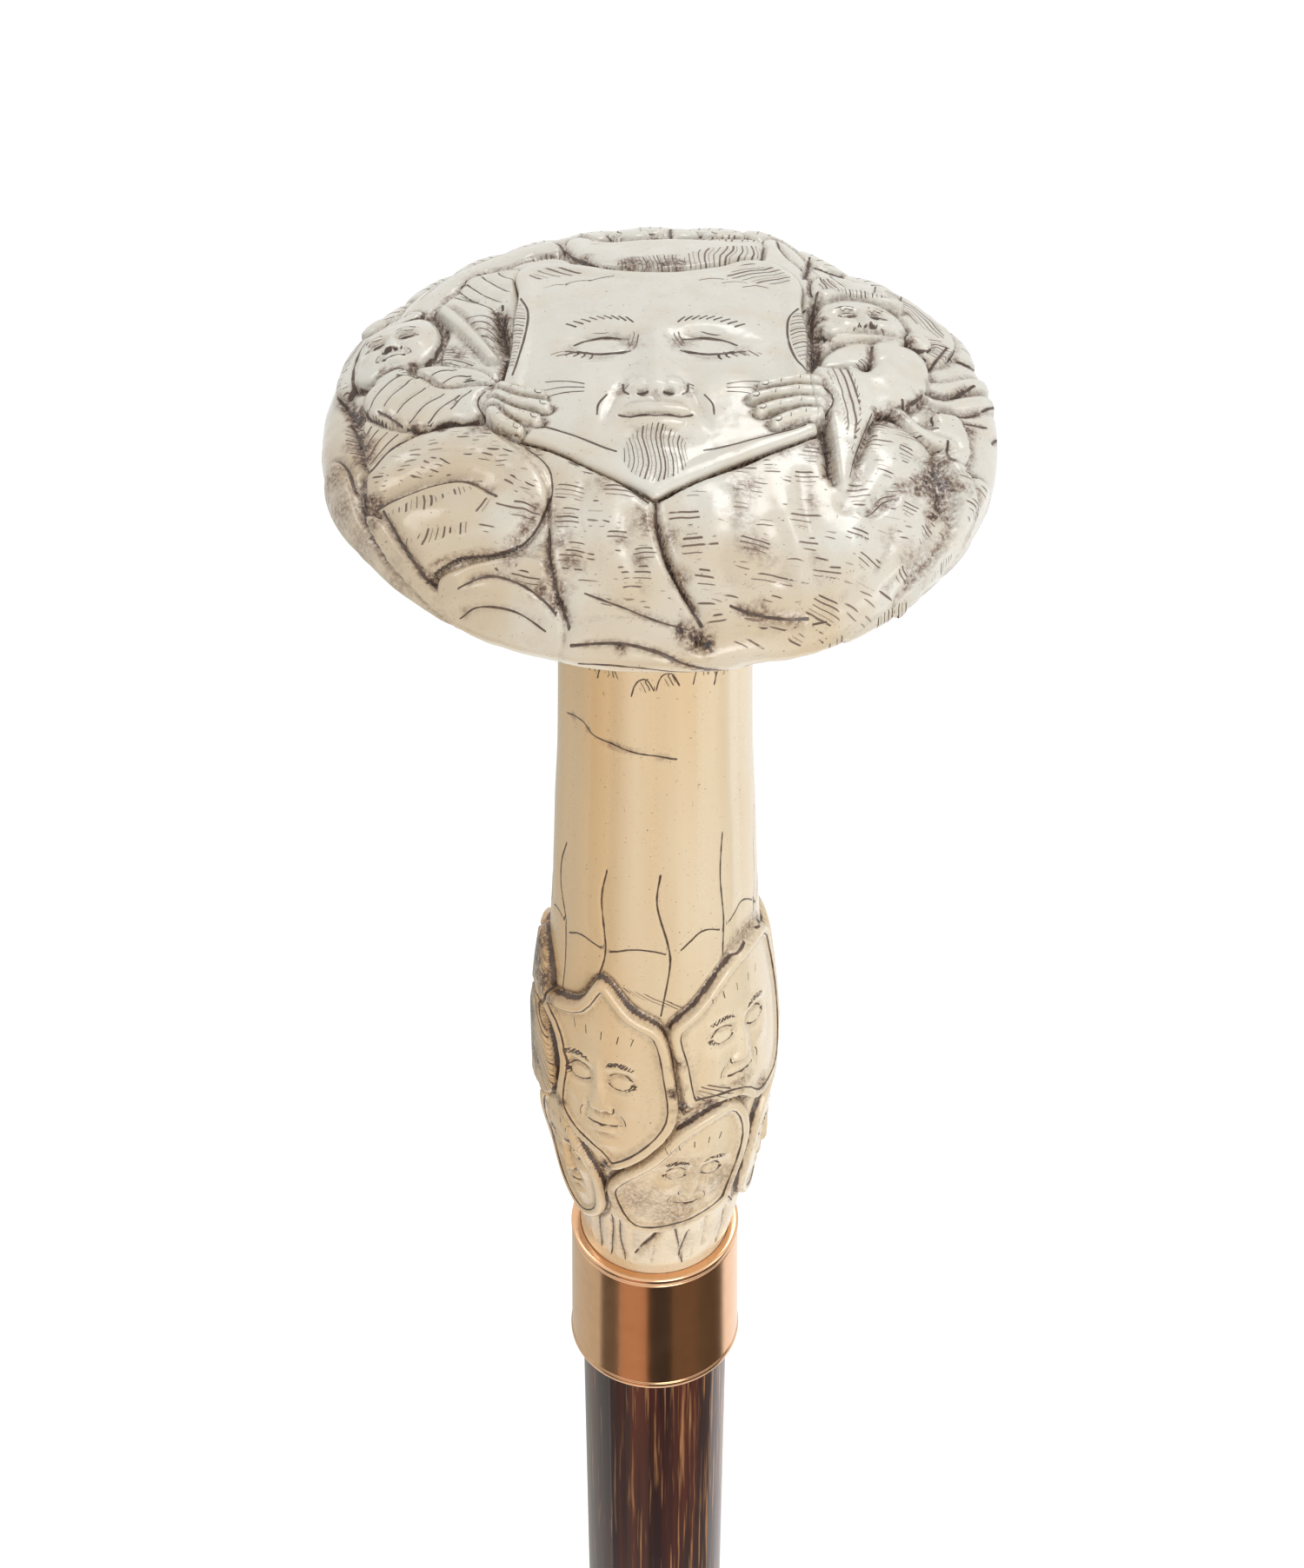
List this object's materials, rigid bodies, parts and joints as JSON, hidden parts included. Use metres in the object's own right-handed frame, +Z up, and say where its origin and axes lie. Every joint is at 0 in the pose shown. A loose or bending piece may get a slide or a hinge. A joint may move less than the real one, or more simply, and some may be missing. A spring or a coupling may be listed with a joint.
{
  "type": "carved walking stick",
  "caption": "Walking stick with a mushroom-shaped carved cap and carved stem, a metal collar, a tapered wooden shaft and a ferrule with an iron tip.",
  "frame": {"origin": "middle of the iron tip's flat foot, at the bottom of the stick", "axes": "+Z up the stick to the cap; -Y towards the carving's front, where the large mask's chin points; +X to the right as seen from the front"},
  "size_m": [0.0624, 0.0624, 0.9],
  "materials": {
    "carved_cap": "polished, ink-stained carving",
    "peg": "plain",
    "carved_stem": "polished, ink-stained carving",
    "rod": "plain",
    "collar": "polished rose gold",
    "shaft": "glossy lacquer",
    "ferrule": "satin, worn",
    "nails": "filed flush",
    "tip": "worn bright at the foot"
  },
  "bodies": {
    "root": {"carved_cap": "carved_cap", "cap_peg": "peg", "carved_stem": "carved_stem", "joining_rod": "rod", "collar": "collar", "shaft": "shaft", "ferrule": "ferrule", "ferrule_nails": "nails", "ferrule_tip": "tip"}
  },
  "joints": []
}
